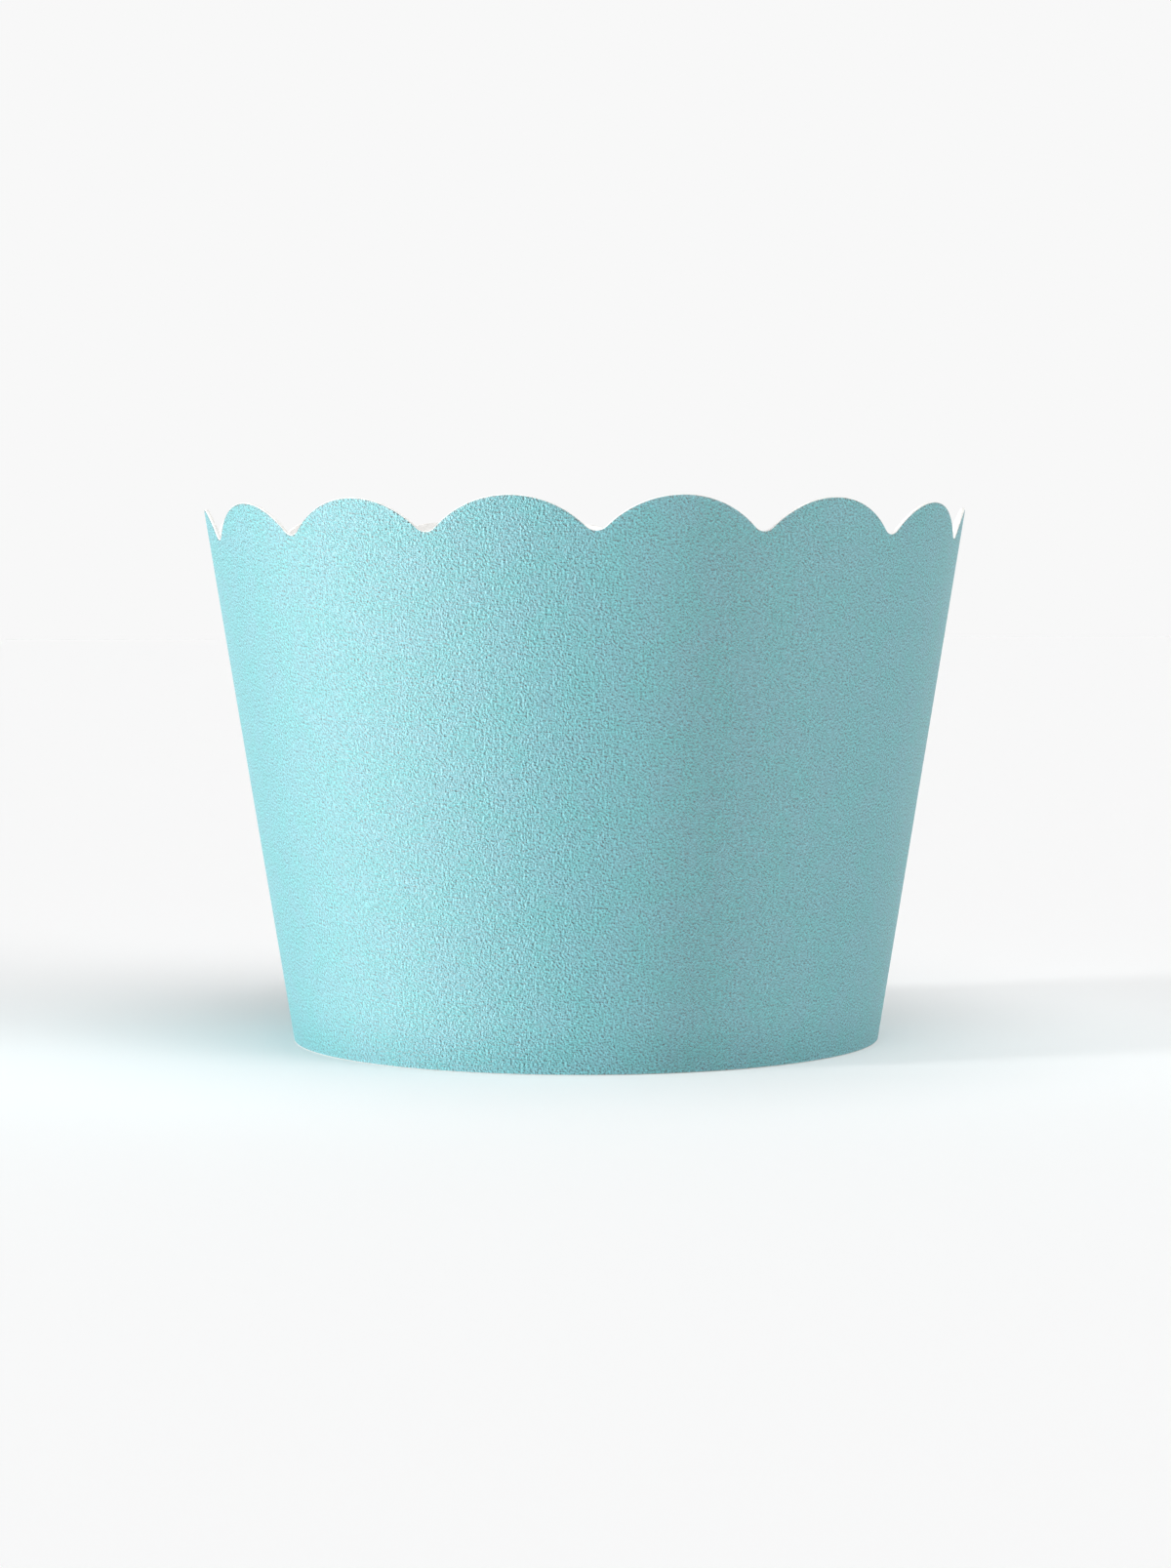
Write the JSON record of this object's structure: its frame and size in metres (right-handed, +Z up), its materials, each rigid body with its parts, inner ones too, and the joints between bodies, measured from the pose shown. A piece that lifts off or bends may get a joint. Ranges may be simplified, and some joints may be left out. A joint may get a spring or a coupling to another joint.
{
  "type": "cupcake wrapper",
  "caption": "Open tapered sleeve of foil-faced card with a scalloped top edge and a glued lap, to stand round a small cake.",
  "frame": {"origin": "centre of the bottom opening, on the surface that the bottom edge rests on", "axes": "+Z up along the cone's axis, -Y towards the front notch, +Y towards the glued lap"},
  "size_m": [0.0716, 0.0718, 0.05],
  "materials": {
    "foil_card": "satin teal foil with a fine leather-like grain on the outside, plain white card on the inside and at the cut edges"
  },
  "bodies": {
    "root": {"wrapper": "foil_card"}
  },
  "joints": []
}
